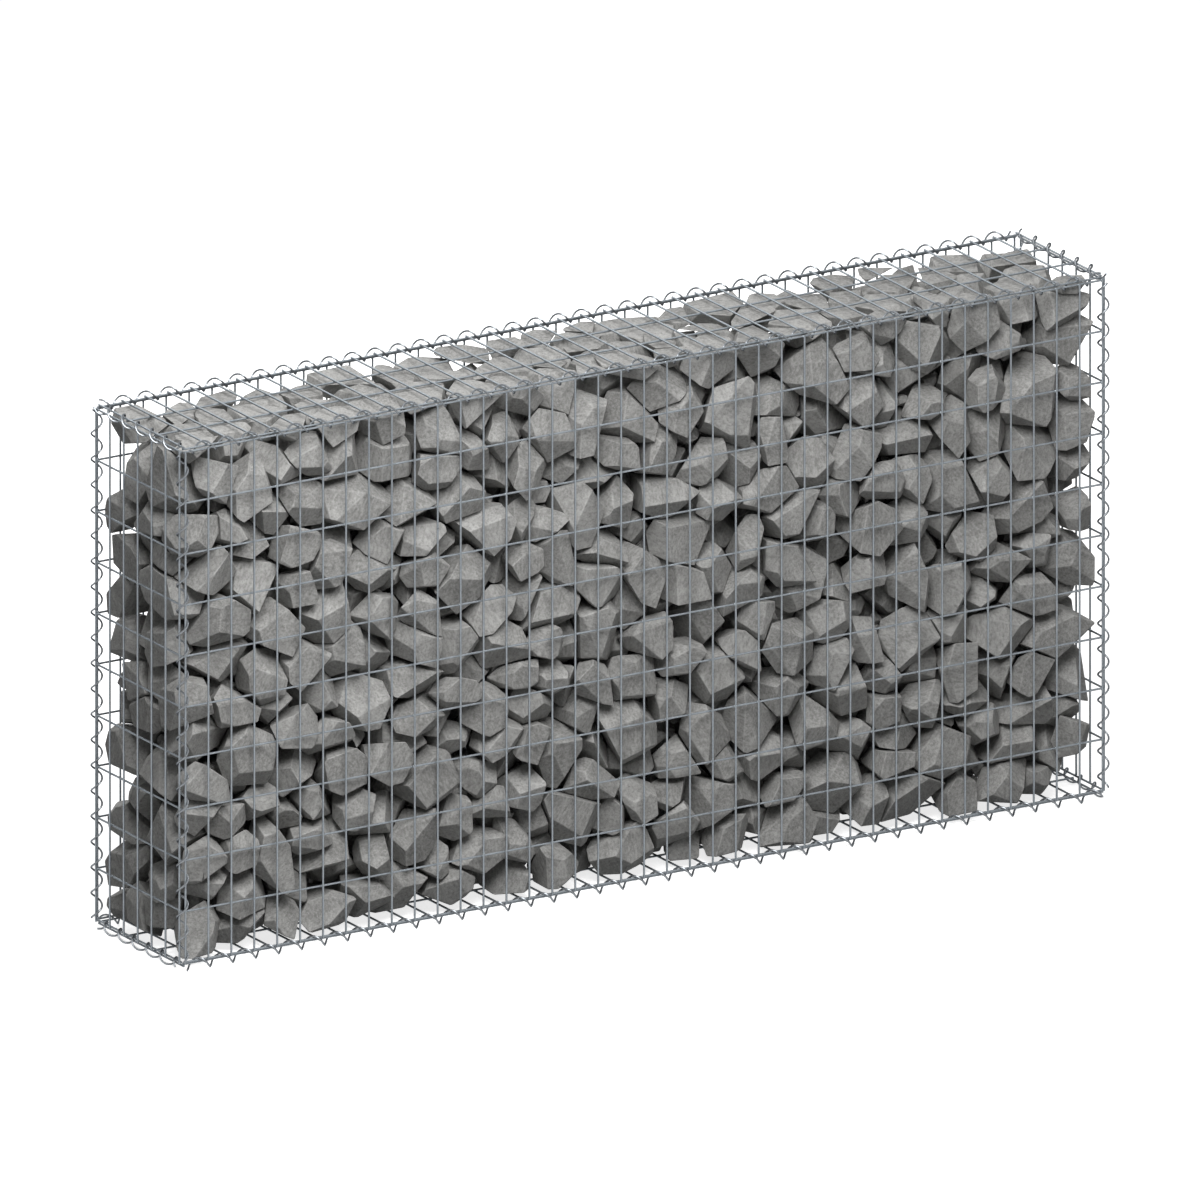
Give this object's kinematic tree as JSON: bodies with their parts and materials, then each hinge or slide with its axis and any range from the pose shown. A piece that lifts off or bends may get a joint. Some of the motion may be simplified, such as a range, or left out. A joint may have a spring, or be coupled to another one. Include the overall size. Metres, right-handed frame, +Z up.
{
  "type": "gabion wall",
  "caption": "Free-standing wall of broken stone in a rectangular welded-mesh wire basket, its panels laced together along every edge by spiral wires.",
  "frame": {"origin": "centre of the footprint, on the ground under the wall", "axes": "+X along the wall's length, +Y from the front to the back, +Z up"},
  "size_m": [2.0372, 0.338, 1.0381],
  "materials": {
    "mesh_wire": "dull galvanised zinc",
    "spiral_wire": "bright galvanised zinc",
    "stone": "rough broken rock"
  },
  "bodies": {
    "root": {"front_mesh_left": "mesh_wire", "front_mesh_right": "mesh_wire", "back_mesh_left": "mesh_wire", "back_mesh_right": "mesh_wire", "left_end_mesh": "mesh_wire", "right_end_mesh": "mesh_wire", "base_mesh": "mesh_wire", "lid_mesh": "mesh_wire", "spiral_front_top": "spiral_wire", "spiral_front_bottom": "spiral_wire", "spiral_back_top": "spiral_wire", "spiral_back_bottom": "spiral_wire", "spiral_left_top": "spiral_wire", "spiral_left_bottom": "spiral_wire", "spiral_right_top": "spiral_wire", "spiral_right_bottom": "spiral_wire", "spiral_front_left": "spiral_wire", "spiral_front_right": "spiral_wire", "spiral_back_left": "spiral_wire", "spiral_back_right": "spiral_wire", "stone_fill": "stone"}
  },
  "joints": []
}
